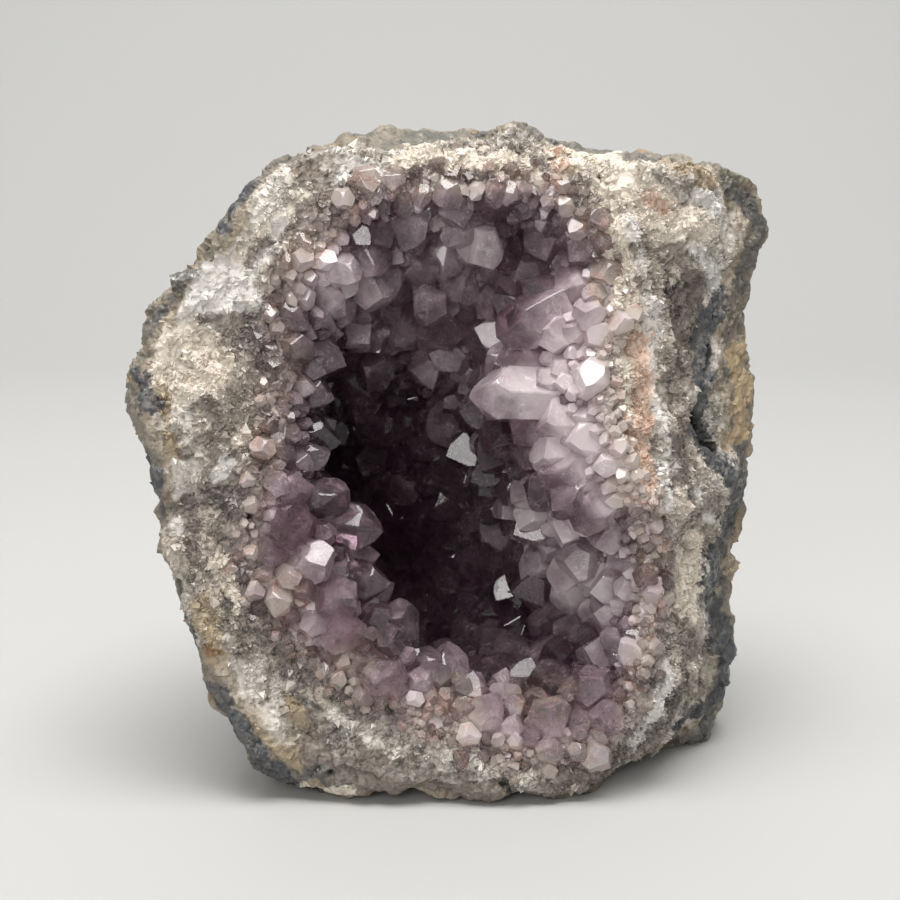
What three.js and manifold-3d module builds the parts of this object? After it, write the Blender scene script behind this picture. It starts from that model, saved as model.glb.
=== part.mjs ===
// An amethyst geode: one broken lump of agate and quartz on a flat base, with a hollow lined with crystals.
// Millimetres, +X right, +Y back, +Z up. The broken face looks along -Y, and the stone stands on z = 0.
import * as THREE from "three";
import { mergeVertices } from "three/addons/utils/BufferGeometryUtils.js";
import Module from "manifold-3d";

const wasm = await Module();
wasm.setup();

// Driving dimensions. Each outline is a list of [x, y, z] corners that goes once round, seen from the front.
const SPOKES = 60; // points round each ring
const BACK = [2, 37, 44]; // the rearmost point of the skin
const PIT = [-11, 17, 33]; // the deepest point of the hollow
const OUTLINE_MIDDLE = [0, 48];
const MOUTH_MIDDLE = [1, 52];
const LIP_MIDDLE = [-5, 53];
const THROAT_MIDDLE = [-10, 39];

// The widest section of the stone.
const OUTLINE = [
  [-49, -24, 65], [-46, -23, 69], [-44, -22, 74], [-38, -22, 79], [-36, -21, 85], [-31, -19, 91],
  [-27, -16, 96], [-18, -12, 100], [-8, -10, 98], [3, -7, 98], [9, 0, 100.5], [15, -2, 98],
  [20, -6, 96.5], [30, -8, 96], [41, -8, 95], [47, -6, 92], [50, -5, 87], [49, -4, 79],
  [45.5, -4, 69], [48, -4, 63], [48, -4, 52], [47, -4, 42], [45.5, -4, 33], [47, -4, 19],
  [45, -5, 9], [42, -6, 1], [35, -12, 1], [27, -20, 0], [21, -30, -1], [9, -33, 1.5],
  [-10, -33, 2.5], [-24, -31, -0.5], [-30, -31, 5], [-33, -30, 10], [-37, -30, 16], [-38, -29, 24],
  [-43, -28, 36], [-45, -27, 45], [-46, -26, 53],
];

// The edge of the broken front face. On the right it is the crest between the front and the broken side.
const RIM = [
  [-46.5, -27, 65], [-42, -25, 71], [-37, -24, 78], [-33, -23, 85], [-28, -21, 91], [-24, -20, 95],
  [-17, -19, 98], [-8, -18, 96.5], [7, -18, 96.5], [22, -18, 95], [32, -17, 93.5], [41, -14, 91],
  [39, -14, 82], [31, -17, 75], [29, -19, 69], [30, -20, 62], [32, -22, 55], [34, -24, 47],
  [33, -23, 38], [33, -24, 31], [32, -26, 24], [30, -28, 16], [25, -31, 9], [20, -33, 1],
  [9, -34.5, 3], [-10, -34.5, 4], [-23, -33, 2], [-29, -33, 8], [-33, -32, 14], [-36, -31.5, 24],
  [-41, -30, 36], [-43, -29, 45], [-44, -28, 55],
];

// Where the first crystals stand, in front of the hollow.
const MOUTH = [
  [15, -20, 91], [20, -20, 85], [23, -21, 79], [23, -23, 71], [22, -25, 63], [25, -27, 54],
  [28, -27, 47], [29, -25.5, 41], [29, -26, 30], [28.5, -28, 21], [26, -29, 14], [20, -31, 9],
  [13, -32, 8], [5, -31, 10], [-5, -31, 14], [-12, -29, 18], [-20, -28, 23], [-26, -28, 28],
  [-29, -28, 36], [-28, -27, 46], [-25, -26, 53], [-24, -24, 61], [-25, -23, 69], [-23, -22, 77],
  [-20, -21, 82], [-16, -20, 87], [-9, -20, 91], [3, -19, 92],
];

// Where the wall turns in to the deep part: far in at the bulge on the right, close to the mouth on the left.
const LIP = [
  [8, -14, 61], [12, -14, 69], [15, -13, 76], [17, -12, 82], [9, -11, 87], [-2, -11, 88],
  [-10, -13, 85], [-17, -15, 79], [-22, -18, 69], [-23, -20, 60], [-23, -21, 54], [-22, -22, 48],
  [-18, -23, 40], [-16, -24, 33], [-13, -25, 26], [-6, -25, 18], [3, -25, 15], [12, -24, 12],
  [21, -22, 14], [26, -19, 20], [28, -17, 30], [26, -16, 37], [20, -19, 44], [15, -18, 49], [10, -15, 54],
];

// The hollow's section half way down, wider than its lip on the left.
const THROAT = [
  [3, 0, 53], [1, 0, 59], [-5, 0, 64], [-13, 0, 65], [-22, 0, 61], [-29, 0, 51], [-31, 0, 39],
  [-29, 0, 28], [-23, 0, 18], [-13, 0, 12], [-2, 0, 11], [8, 0, 16], [13, 0, 24], [13, 0, 34], [8, 0, 44],
];

const DOME_STEPS = [0.92, 0.79, 0.66, 0.53, 0.4, 0.27, 0.13]; // shares of the way from outline to back
const DOME_POWER = 0.52; // below 1 makes the back squarer than an ellipse
const BASE_DROP = 11; // how far the underside reaches down before it is cut flat
const BASE_DROP_RATE = 1.15; // above 1 brings its lowest place nearer to the outline
const BASE_CUT = { width: 300, depth: 60 }; // the block that cuts the base flat
const SIDE_SHARES = [0.34, 0.67]; // the rings on the broken side, from the outline to the rim
const FACE_SHARES = [0.3, 0.65]; // the rings on the broken face, from the rim to the mouth
const PIT_SHARES = [0.35, 0.7]; // the rings on the hollow's rear wall, from the throat to the pit
const PIT_POWER = 1.35; // above 1 makes the rear wall rounder
const SMOOTH_SPOKES = 4; // how many points on each side the skin's rings are averaged over as they go back
const SMOOTH_RATE = 1.3; // how soon that averaging is complete on the way back
const SKIN_FADE_RINGS = 4; // rings behind the outline over which the skin's own lumps grow to full height
const SKIN_LUMPS = { size: 24, height: 10 };
const SKIN_PITS = { size: 10.5, height: 4 };
const BREAK_LUMPS = { size: 11, height: 3.2 };
const BREAK_CHIPS = { size: 4.7, height: 2.2 };
const HOLLOW_LUMPS = { size: 12, height: 2.0 };
const HOLLOW_STEPS = 3; // rings from the mouth to the lip, and from there to the throat

const CRUST_THICKNESS = 2.8;
const CRUST_EDGE = 0.5; // the crust's thickness at the mouth
const CRUST_EDGE_RINGS = 2; // rings over which it grows to its full thickness
const CRUST_ROOT = 2; // how far the crust's blank reaches into the rock before the rock is cut out of it
const CRUST_GAP = 0.3;
const CRYSTAL_SEED = 27;
const CRYSTAL_TRIES = 1500;
const CRYSTAL_RADIUS = [3.4, 5.2];
const CRYSTAL_RADIUS_POWER = 1.6; // above 1 makes the smaller ones more common
const CRYSTAL_ROOT = 0.6; // how deep a crystal is rooted, as a share of the crust's thickness
const CRYSTAL_SPACING = 2.35; // least distance between neighbours, in mean radii
const CRYSTAL_STAND = 0.75; // how far a crystal's shoulder stands off the crust, in radii
const CRYSTAL_TILT = 0.32; // how unevenly the crystals lean
const MOUTH_TURN = 2; // how strongly crystals near the mouth turn towards the hollow's middle
const MOUTH_RINGS = 5; // rings over which that turn fades
const MOUTH_SHRINK = 0.6; // the size of crystals at the mouth, as a share of the rest
const HOLLOW_MIDDLE = [-4, -8, 50];
const SHOULDER_STEP = 0.3; // how unequal a crystal's end faces are, in radii
const SHOULDER_LEAN = 0.25; // how much higher its shoulder may be on one side, in radii
const TIP_HEIGHT = 1.12; // from shoulder to tip, in radii
const LARGE_LENGTH = 3.4; // the largest crystals' length, in radii
const MERGE_DISTANCE = 1e-4;
const STONE_COLOUR = 0x9a8d7f;
const AMETHYST_COLOUR = 0x7d6784;

// The largest crystals: tip, the way each one points, and its radius.
const LARGE_CRYSTALS = [
  { tip: [2, -26, 62], along: [-0.86, -0.4, 0.1], radius: 4.4 },
  { tip: [6, -24, 69.5], along: [-0.75, -0.45, -0.35], radius: 3.8 },
  { tip: [2, -17, 83], along: [0.05, -0.9, -0.3], radius: 3.2 },
  { tip: [-10, -19, 75], along: [0.35, -0.85, -0.1], radius: 3.6 },
  { tip: [-3, -16, 74.5], along: [0, -0.9, 0.25], radius: 3.1 },
  { tip: [-14.5, -27, 47.5], along: [0.8, -0.45, 0.35], radius: 3.3 },
  { tip: [-9.5, -25, 40.5], along: [0.9, -0.3, -0.1], radius: 3.6 },
  { tip: [-8.5, -26, 33], along: [0.9, -0.3, 0], radius: 3.0 },
  { tip: [-7, -28, 28.5], along: [0.25, -0.85, 0.45], radius: 3.9 },
  { tip: [-2, -28, 21.5], along: [0.1, -0.45, 0.88], radius: 2.9 },
  { tip: [3.5, -27, 19.5], along: [0.05, -0.3, 0.95], radius: 2.6 },
  { tip: [12.5, -27, 49.5], along: [-0.85, -0.5, 0.1], radius: 3.9 },
  { tip: [14.5, -29, 44.5], along: [-0.6, -0.75, -0.25], radius: 3.4 },
  { tip: [17, -21, 34.5], along: [-0.55, -0.8, 0.1], radius: 3.4 },
];

// Numbers from 0 to 1, the same on every run.
function randomNumbers(seed) {
  let state = seed;
  return () => {
    state = (state * 1664525 + 1013904223) % 4294967296;
    return state / 4294967296;
  };
}

// A fixed random number from -1 to 1 for each corner of a unit lattice.
function latticeValue(i, j, k) {
  const wave = Math.sin(i * 127.1 + j * 311.7 + k * 74.7) * 43758.5453;
  return 2 * (wave - Math.floor(wave)) - 1;
}

// Smooth noise of about -1 to 1 with lumps of the given size.
function noise(point, size) {
  const scaled = point.clone().divideScalar(size);
  const cell = scaled.clone().floor();
  const ease = scaled.clone().sub(cell).toArray().map((t) => t * t * (3 - 2 * t));
  let sum = 0;
  for (let corner = 0; corner < 8; corner++) {
    const step = [corner & 1, (corner >> 1) & 1, corner >> 2];
    const share = step.reduce((product, s, axis) => product * (s ? ease[axis] : 1 - ease[axis]), 1);
    sum += share * latticeValue(cell.x + step[0], cell.y + step[1], cell.z + step[2]);
  }
  return sum;
}

// The points at even angles round the middle on a closed outline that is star-shaped about it.
function ring(corners, [middleX, middleZ]) {
  const turn = 2 * Math.PI;
  const angleOf = ([x, , z]) => (Math.atan2(z - middleZ, x - middleX) + turn) % turn;
  const sorted = corners.map((c) => ({ c, angle: angleOf(c) })).sort((a, b) => a.angle - b.angle);
  return Array.from({ length: SPOKES }, (_, spoke) => {
    const angle = (turn * spoke) / SPOKES;
    const next = Math.max(0, sorted.findIndex((s) => s.angle > angle));
    const from = sorted.at(next - 1).c;
    const to = sorted[next].c;
    const side = ([x, , z]) => (x - middleX) * Math.sin(angle) - (z - middleZ) * Math.cos(angle);
    const share = side(from) / (side(from) - side(to));
    return new THREE.Vector3(...from).lerp(new THREE.Vector3(...to), share);
  });
}

// Rings between two rings, at the given shares of the way.
function between(first, second, shares) {
  return shares.map((share) => first.map((point, i) => point.clone().lerp(second[i], share)));
}

// Rings on smooth curves through the given rings, with the given number of steps between each two.
function smoothThrough(rings, steps) {
  const along = rings[0].map((_, i) => rings.map((r) => r[i]));
  const curves = along.map((points) => new THREE.CatmullRomCurve3(points, false, "centripetal"));
  const total = steps * (rings.length - 1);
  return Array.from({ length: total + 1 }, (_, step) => curves.map((curve) => curve.getPoint(step / total)));
}

// Each point of a ring, moved to the mean of its neighbours by the given share.
function smoothed(points, share) {
  return points.map((point, i) => {
    const mean = new THREE.Vector3();
    for (let step = -SMOOTH_SPOKES; step <= SMOOTH_SPOKES; step++) {
      mean.add(points[(i + step + SPOKES) % SPOKES]);
    }
    return point.clone().lerp(mean.divideScalar(2 * SMOOTH_SPOKES + 1), share);
  });
}

// The rounded back, as rings from the rear to the outline. Its lower side reaches below the base.
function dome(outline) {
  return DOME_STEPS.map((t) => {
    const spread = Math.cos((t * Math.PI) / 2) ** DOME_POWER;
    const depth = Math.sin((t * Math.PI) / 2) ** (2 * DOME_POWER);
    const middleX = THREE.MathUtils.lerp(OUTLINE_MIDDLE[0], BACK[0], t);
    const middleZ = THREE.MathUtils.lerp(OUTLINE_MIDDLE[1], BACK[2], t);
    return smoothed(outline, Math.min(1, SMOOTH_RATE * t)).map((point) => {
      const x = middleX + (point.x - OUTLINE_MIDDLE[0]) * spread;
      const z = middleZ + (point.z - OUTLINE_MIDDLE[1]) * spread;
      const down = Math.max(0, (OUTLINE_MIDDLE[1] - point.z) / OUTLINE_MIDDLE[1]);
      return new THREE.Vector3(
        x,
        THREE.MathUtils.lerp(point.y, BACK[1], depth),
        z - BASE_DROP * down * down * Math.sin(Math.PI * Math.min(1, t * BASE_DROP_RATE)),
      );
    });
  });
}

// A surface over rings, closed at an end by a pole where one is given.
function loft(rings, firstPole, lastPole) {
  const points = [...(firstPole ? [firstPole] : []), ...rings.flat(), ...(lastPole ? [lastPole] : [])];
  const start = firstPole ? 1 : 0;
  const count = rings[0].length;
  const at = (r, s) => start + r * count + (s % count);
  const index = [];
  for (let s = 0; s < count; s++) {
    if (firstPole) index.push(0, at(0, s + 1), at(0, s));
    for (let r = 0; r + 1 < rings.length; r++) {
      index.push(at(r, s), at(r + 1, s + 1), at(r + 1, s));
      index.push(at(r, s), at(r, s + 1), at(r + 1, s + 1));
    }
    if (lastPole) index.push(at(rings.length - 1, s), at(rings.length - 1, s + 1), points.length - 1);
  }
  return { points, index };
}

function geometryOf({ points, index }) {
  return new THREE.BufferGeometry().setFromPoints(points).setIndex(index);
}

function normalsOf(surface) {
  const geometry = geometryOf(surface);
  geometry.computeVertexNormals();
  const normals = geometry.getAttribute("normal");
  return surface.points.map((_, i) => new THREE.Vector3().fromBufferAttribute(normals, i));
}

// Moves each point of a surface along its normal by what the function says.
function displaced(surface, distance) {
  const normals = normalsOf(surface);
  const points = surface.points.map((p, i) => p.clone().addScaledVector(normals[i], distance(p, i)));
  return { points, index: surface.index };
}

function solidOf(geometry) {
  const bare = new THREE.BufferGeometry();
  bare.setAttribute("position", geometry.getAttribute("position"));
  bare.setIndex(geometry.index);
  const merged = mergeVertices(bare, MERGE_DISTANCE);
  return new wasm.Manifold(
    new wasm.Mesh({
      numProp: 3,
      vertProperties: merged.attributes.position.array,
      triVerts: new Uint32Array(merged.index.array),
    }),
  );
}

function geometryFrom(solid) {
  const mesh = solid.getMesh();
  const geometry = new THREE.BufferGeometry();
  geometry.setAttribute("position", new THREE.BufferAttribute(mesh.vertProperties, mesh.numProp));
  geometry.setIndex(new THREE.BufferAttribute(mesh.triVerts, 1));
  return geometry;
}

function lumps(point, { size, height }) {
  return (height / 2) * noise(point, size);
}

// The whole stone as one closed surface: rear, skin, broken side and face, and down into the hollow.
function stoneSurface() {
  const outline = ring(OUTLINE, OUTLINE_MIDDLE);
  const rim = ring(RIM, OUTLINE_MIDDLE);
  const mouth = ring(MOUTH, MOUTH_MIDDLE);
  const hollow = smoothThrough([mouth, ring(LIP, LIP_MIDDLE), ring(THROAT, THROAT_MIDDLE)], HOLLOW_STEPS);
  const pit = new THREE.Vector3(...PIT);
  const deep = hollow.at(-1).map(() => pit);
  const floor = PIT_SHARES.map((share) =>
    hollow.at(-1).map((point, i) => {
      const lateral = point.clone().lerp(deep[i], share ** PIT_POWER);
      lateral.y = THREE.MathUtils.lerp(point.y, pit.y, Math.sin((share * Math.PI) / 2));
      return lateral;
    }),
  );
  const skin = [...dome(outline), outline];
  const side = between(outline, rim, SIDE_SHARES);
  const face = between(rim, mouth, FACE_SHARES);
  const rings = [...skin, ...side, rim, ...face, ...hollow, ...floor];
  const surface = loft(rings, new THREE.Vector3(...BACK), pit);
  const hollowStart = 1 + (rings.length - hollow.length - floor.length) * SPOKES;
  const rough = displaced(surface, (p, i) => {
    if (i >= hollowStart) return lumps(p, HOLLOW_LUMPS);
    const behind = Math.max(0, skin.length - 1 - Math.floor((i - 1) / SPOKES));
    const fade = Math.min(1, behind / SKIN_FADE_RINGS);
    const broken = lumps(p, BREAK_LUMPS) + lumps(p, BREAK_CHIPS);
    return THREE.MathUtils.lerp(broken, lumps(p, SKIN_LUMPS) + lumps(p, SKIN_PITS), fade);
  });
  return { surface: rough, hollowStart };
}

// A blank for the crust: a plate on every second point of the hollow's surface, from inside the rock to the
// crust's own thickness.
function crustBlank({ surface, hollowStart }) {
  const normals = normalsOf(surface).slice(hollowStart);
  const wall = surface.points.slice(hollowStart);
  const ringCount = (wall.length - 1) / SPOKES;
  const layer = (offset) => {
    const moved = wall.map((p, i) => p.clone().addScaledVector(normals[i], offset(Math.floor(i / SPOKES))));
    const rings = Array.from({ length: ringCount }, (_, r) => moved.slice(r * SPOKES, (r + 1) * SPOKES));
    const coarse = rings.filter((_, r) => r % 2 === 0).map((points) => points.filter((_, i) => i % 2 === 0));
    return { rings: coarse, pole: moved.at(-1) };
  };
  const back = layer(() => -CRUST_ROOT);
  const grown = (r) => Math.min(1, r / CRUST_EDGE_RINGS);
  const front = layer((r) => THREE.MathUtils.lerp(CRUST_EDGE, CRUST_THICKNESS, grown(r)));
  const blank = loft([...back.rings.toReversed(), ...front.rings], back.pole, front.pole);
  return { solid: solidOf(geometryOf(blank)), wall, normals };
}

// A quartz crystal along +Z with its tip at the origin: a six-sided prism with six unequal end faces.
function crystalGeometry(radius, length, random) {
  const lean = (random() - 0.5) * SHOULDER_LEAN * radius;
  const shoulder = -TIP_HEIGHT * radius;
  const points = [new THREE.Vector3(0, 0, 0)];
  for (const bottom of [false, true]) {
    for (let i = 0; i < 6; i++) {
      const angle = (Math.PI * i) / 3;
      const step = (i % 2 ? 1 : -1) * SHOULDER_STEP * radius * (0.5 + random() / 2);
      const height = bottom ? -length : shoulder + step / 2 + lean * Math.cos(angle);
      points.push(new THREE.Vector3(radius * Math.cos(angle), radius * Math.sin(angle), height));
    }
  }
  const index = [];
  for (let i = 0; i < 6; i++) {
    const [a, b] = [1 + i, 1 + ((i + 1) % 6)];
    index.push(0, a, b, a, a + 6, b + 6, a, b + 6, b);
    if (i > 0 && i < 5) index.push(7, b + 6, a + 6);
  }
  return geometryOf({ points, index });
}

function placedCrystal(tip, along, radius, length, random) {
  const geometry = crystalGeometry(radius, length, random);
  const turn = new THREE.Quaternion().setFromUnitVectors(new THREE.Vector3(0, 0, 1), along);
  geometry.rotateZ(random() * Math.PI);
  geometry.applyQuaternion(turn);
  geometry.translate(tip.x, tip.y, tip.z);
  return solidOf(geometry);
}

// The triangles between the wall's rings, and those between its last ring and the pit.
function wallTriangles(wall) {
  const ringCount = (wall.length - 1) / SPOKES;
  const triangles = [];
  for (let r = 0; r + 1 < ringCount; r++) {
    for (let s = 0; s < SPOKES; s++) {
      const [a, b] = [r * SPOKES + s, r * SPOKES + ((s + 1) % SPOKES)];
      triangles.push([a, a + SPOKES, b + SPOKES], [a, b + SPOKES, b]);
    }
  }
  const last = (ringCount - 1) * SPOKES;
  for (let s = 0; s < SPOKES; s++) {
    triangles.push([last + s, wall.length - 1, last + ((s + 1) % SPOKES)]);
  }
  return triangles;
}

// A place on a triangle of the wall, with the wall's normal there.
function randomPlace(corners, wall, normals, random) {
  const [u, v] = [random(), random()];
  const weights = u + v > 1 ? [1 - u, 1 - v, u + v - 1] : [u, v, 1 - u - v];
  const foot = new THREE.Vector3();
  const normal = new THREE.Vector3();
  corners.forEach((corner, i) => {
    foot.addScaledVector(wall[corner], weights[i]);
    normal.addScaledVector(normals[corner], weights[i]);
  });
  return { foot, normal: normal.normalize() };
}

// Crystals all over the hollow's wall, a set distance apart, each along the wall's normal with a little tilt.
function smallCrystals(wall, normals) {
  const random = randomNumbers(CRYSTAL_SEED);
  const triangles = wallTriangles(wall);
  const areas = triangles.map((t) => new THREE.Triangle(...t.map((i) => wall[i])).getArea());
  const running = areas.map(((sum) => (area) => (sum += area))(0));
  const middle = new THREE.Vector3(...HOLLOW_MIDDLE);
  const kept = [];
  for (let tries = 0; tries < CRYSTAL_TRIES; tries++) {
    const pick = random() * running.at(-1);
    const corners = triangles[running.findIndex((sum) => sum >= pick)];
    const { foot, normal } = randomPlace(corners, wall, normals, random);
    const depth = Math.min(1, corners[0] / SPOKES / MOUTH_RINGS);
    const size = THREE.MathUtils.lerp(MOUTH_SHRINK, 1, depth);
    const radius = size * THREE.MathUtils.lerp(...CRYSTAL_RADIUS, random() ** CRYSTAL_RADIUS_POWER);
    const tilt = new THREE.Vector3(random() - 0.5, random() - 0.5, random() - 0.5);
    const inward = middle.clone().sub(foot).normalize();
    const along = normal.addScaledVector(inward, MOUTH_TURN * (1 - depth));
    along.addScaledVector(tilt, 2 * CRYSTAL_TILT).normalize();
    const crowded = kept.some((k) => k.foot.distanceTo(foot) < (CRYSTAL_SPACING * (k.radius + radius)) / 2);
    if (!crowded) kept.push({ foot, along, radius });
  }
  return kept.map(({ foot, along, radius }) => {
    const length = CRUST_THICKNESS * CRYSTAL_ROOT + (CRYSTAL_STAND + TIP_HEIGHT) * radius;
    const tip = foot.clone().addScaledVector(along, CRUST_THICKNESS * (1 - CRYSTAL_ROOT) + length);
    return placedCrystal(tip, along, radius, length, random);
  });
}

function largeCrystals() {
  const random = randomNumbers(CRYSTAL_SEED + 1);
  return LARGE_CRYSTALS.map(({ tip, along, radius }) => {
    const direction = new THREE.Vector3(...along).normalize();
    return placedCrystal(new THREE.Vector3(...tip), direction, radius, LARGE_LENGTH * radius, random);
  });
}

function largestBody(solid) {
  return solid.decompose().sort((a, b) => b.volume() - a.volume())[0];
}

function flatBase(solid) {
  const { width, depth } = BASE_CUT;
  const below = new THREE.BoxGeometry(width, width, depth).translate(0, 0, -depth / 2);
  return solid.subtract(solidOf(below));
}

function stoneMaterial() {
  return new THREE.MeshStandardMaterial({ color: STONE_COLOUR, roughness: 0.75, metalness: 0 });
}

function amethystMaterial() {
  return new THREE.MeshStandardMaterial({ color: AMETHYST_COLOUR, roughness: 0.2, metalness: 0 });
}

const stone = stoneSurface();
const shell = flatBase(solidOf(geometryOf(stone.surface)));
const grownStone = solidOf(geometryOf(displaced(stone.surface, () => CRUST_GAP)));
const blank = crustBlank(stone);
const crystals = [...smallCrystals(blank.wall, blank.normals), ...largeCrystals()];
const grown = crystals.reduce((sum, crystal) => sum.add(crystal), blank.solid);
const crust = largestBody(grown.subtract(grownStone));

const shellMesh = new THREE.Mesh(geometryFrom(shell), stoneMaterial());
shellMesh.name = "geode_shell";
const crustMesh = new THREE.Mesh(geometryFrom(crust), amethystMaterial());
crustMesh.name = "crystal_crust";

const geode = new THREE.Group();
geode.add(shellMesh, crustMesh);
const extent = new THREE.Box3().setFromObject(geode);
const centre = extent.getCenter(new THREE.Vector3());
geode.position.set(-centre.x, -centre.y, -extent.min.z);

export default geode;
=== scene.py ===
"""Looks of the amethyst geode: agate and quartz rock, quartz grains and a crust of amethyst crystals."""

import math

import bpy
import numpy as np
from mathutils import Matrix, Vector, noise
from mathutils.bvhtree import BVHTree
from mathutils.kdtree import KDTree


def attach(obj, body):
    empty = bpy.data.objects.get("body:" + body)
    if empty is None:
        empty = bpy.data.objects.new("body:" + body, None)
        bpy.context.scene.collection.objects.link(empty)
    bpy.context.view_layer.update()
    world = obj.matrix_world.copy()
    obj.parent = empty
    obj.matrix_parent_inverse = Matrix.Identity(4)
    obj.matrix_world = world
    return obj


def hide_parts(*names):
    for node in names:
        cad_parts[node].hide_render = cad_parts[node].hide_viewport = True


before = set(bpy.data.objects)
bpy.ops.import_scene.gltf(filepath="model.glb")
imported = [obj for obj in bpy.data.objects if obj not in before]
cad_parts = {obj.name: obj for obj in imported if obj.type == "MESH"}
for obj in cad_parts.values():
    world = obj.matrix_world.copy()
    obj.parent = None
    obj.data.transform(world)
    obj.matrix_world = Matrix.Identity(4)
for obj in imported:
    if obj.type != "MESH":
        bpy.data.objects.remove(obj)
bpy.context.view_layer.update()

NOISE_SEED = 5
noise.seed_set(NOISE_SEED)  # Blender seeds its vector noise from the clock otherwise

MM = 0.001
PLACE = np.array((-0.49, -2.74, 0.0))  # from the axes that the tables below use to the shared frame, mm

# The widest section of the stone, round from the left: [x, y, z] in mm. In front of it the stone is broken.
OUTLINE = [
    (-49, -24, 65), (-44, -22, 74), (-36, -21, 85), (-27, -16, 96), (-8, -10, 98), (3, -7, 98),
    (9, 0, 100.5), (20, -6, 96.5), (41, -8, 95), (50, -5, 87), (45.5, -4, 69), (48, -4, 52),
    (45.5, -4, 33), (47, -4, 19), (42, -6, 1), (35, -12, 1), (27, -20, 0), (21, -30, -1),
    (9, -33, 1.5), (-10, -33, 2.5), (-30, -31, 5), (-37, -30, 16), (-43, -28, 36), (-46, -26, 53),
]
OUTLINE_MIDDLE = (0, 48)

# Veins, patches and stains on the broken face: kind, half width and the points (x, z) on its way, mm.
STAINS = [
    ("cream", 3.2, (22, 87), (24, 81), (25, 75), (27, 69), (28, 61)),
    ("cream", 2.1, (28, 61), (28, 54), (28, 45)),
    ("cream", 3.4, (24, 93), (29, 91), (32, 86)),
    ("cream", 1.4, (-15, 94), (-4, 96), (7, 95), (16, 93)),
    ("cream", 4.0, (-40, 69), (-36, 66), (-40, 64)),
    ("cream", 1.2, (-32, 81), (-27, 85), (-22, 91)),
    ("cream", 1.4, (-23, 83), (-21, 84)),
    ("cream", 2.1, (36, 87), (39, 84)),
    ("cream", 1.5, (16, 95), (22, 95)),
    ("cream", 2.8, (36, 37), (37, 28)),
    ("cream", 1.1, (-31, 55)),
    ("cream", 0.9, (-23, 2), (-15, 2)),
    ("cream", 2.0, (23, 43), (29, 46)),
    ("cream", 1.2, (-35, 37), (-32, 30)),
    ("cream", 0.9, (19, 2)),
    ("white", 1.5, (-17, 93), (-15, 95), (-11, 94)),
    ("white", 0.9, (-25, 87), (-27, 83), (-29, 80)),
    ("white", 2.6, (-34, 80), (-31, 76), (-37, 76)),
    ("white", 0.8, (26, 88), (28, 82), (29, 76), (30, 69), (30, 61), (32, 53), (32, 44)),
    ("white", 1.4, (37, 82), (40, 79), (42, 75)),
    ("white", 1.2, (-33, 52), (-35, 49)),
    ("white", 1.5, (-41, 42)),
    ("white", 1.2, (33, 20), (31, 14), (28, 7)),
    ("white", 0.9, (0, 4), (5, 4)),
    ("white", 1.4, (38, 91), (40, 88)),
    ("white", 1.1, (37, 46), (40, 40)),
    ("white", 0.8, (-12, 6), (-5, 5)),
    ("salmon", 1.8, (28, 68), (29, 62), (28, 55), (29, 49), (26, 44)),
    ("salmon", 1.5, (31, 38), (30, 29), (28, 21)),
    ("salmon", 1.1, (16, 95), (17, 95)),
    ("salmon", 1.1, (30, 90), (33, 88)),
    ("smoky", 2.0, (36, 78), (38, 72), (35, 68), (37, 62)),
    ("smoky", 1.2, (34, 55), (34, 48)),
    ("smoky", 0.9, (-27, 84), (-30, 81)),
    ("smoky", 1.5, (-23, 96), (-18, 93)),
    ("smoky", 1.2, (-36, 61), (-35, 57), (-39, 53)),
    ("smoky", 1.2, (29, 33), (32, 36)),
    ("smoky", 1.4, (-30, 43), (-28, 37)),
    ("smoky", 1.5, (-22, 72), (-24, 64)),
    ("smoky", 3.1, (-20, 9), (-8, 4), (5, 2)),
    ("smoky", 2.4, (12, 2), (25, 6)),
    ("smoky", 1.4, (-28, 29), (-23, 19)),
    ("smoky", 1.1, (-39, 46), (-38, 37)),
    ("dark", 1.7, (42, 74), (39, 68), (39, 59), (38, 54), (41, 49), (45, 45)),
    ("dark", 2.1, (46, 42), (42, 33), (41, 27), (43, 19), (46, 14)),
    ("dark", 2.0, (46, 12), (42, 8), (37, 6)),
    ("dark", 1.2, (-46, 64), (-44, 60)),
    ("dark", 1.8, (-35, 17), (-31, 11), (-28, 6), (-24, 2)),
    ("dark", 1.1, (-34, 86), (-31, 91)),
    ("dark", 1.1, (-45, 53), (-44, 49)),
    ("ochre", 0.9, (-42, 75), (-41, 72)),
    ("ochre", 0.9, (-43, 63), (-42, 57), (-41, 53)),
    ("ochre", 0.6, (-48, 64)),
    ("ochre", 0.8, (33, 94), (37, 93), (41, 91)),
    ("ochre", 0.6, (44, 86), (45, 79), (42, 75)),
    ("ochre", 0.8, (45, 34), (46, 25), (47, 18)),
    ("ochre", 1.4, (-37, 31), (-36, 26), (-35, 22)),
    ("ochre", 1.1, (-24, 15), (-21, 11), (-23, 8)),
    ("ochre", 0.6, (-33, 16), (-29, 12), (-24, 7), (-20, 1)),
    ("ochre", 0.8, (17, -1), (14, 0)),
    ("rust", 0.8, (-42, 74)),
    ("rust", 1.2, (-36, 24)),
    ("rust", 0.9, (-23, 95), (-20, 94)),
    ("matrix", 1.8, (45, 65), (46, 58), (45, 52)),
    ("black", 0.6, (40, 66), (40, 63)),
    ("black", 0.8, (38, 56), (40, 52), (42, 51)),
    ("black", 0.5, (-10, 96)),
    ("black", 0.5, (-15, 90)),
    ("black", 0.6, (22, 93)),
    ("black", 0.5, (24, 95)),
    ("black", 0.5, (32, 79)),
    ("black", 0.6, (32, 76)),
    ("black", 0.9, (-30, 45), (-29, 39)),
    ("black", 0.8, (-28, 35), (-25, 30)),
    ("black", 0.8, (-22, 25), (-20, 24)),
    ("black", 0.6, (-10, 16), (-9, 14)),
    ("black", 0.6, (29, 10)),
    ("black", 0.8, (8, 4), (10, 2)),
    ("black", 0.5, (-17, 91), (-15, 92)),
    ("black", 0.5, (-18, 5)),
    ("black", 0.6, (-27, 72), (-26, 69)),
]
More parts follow.
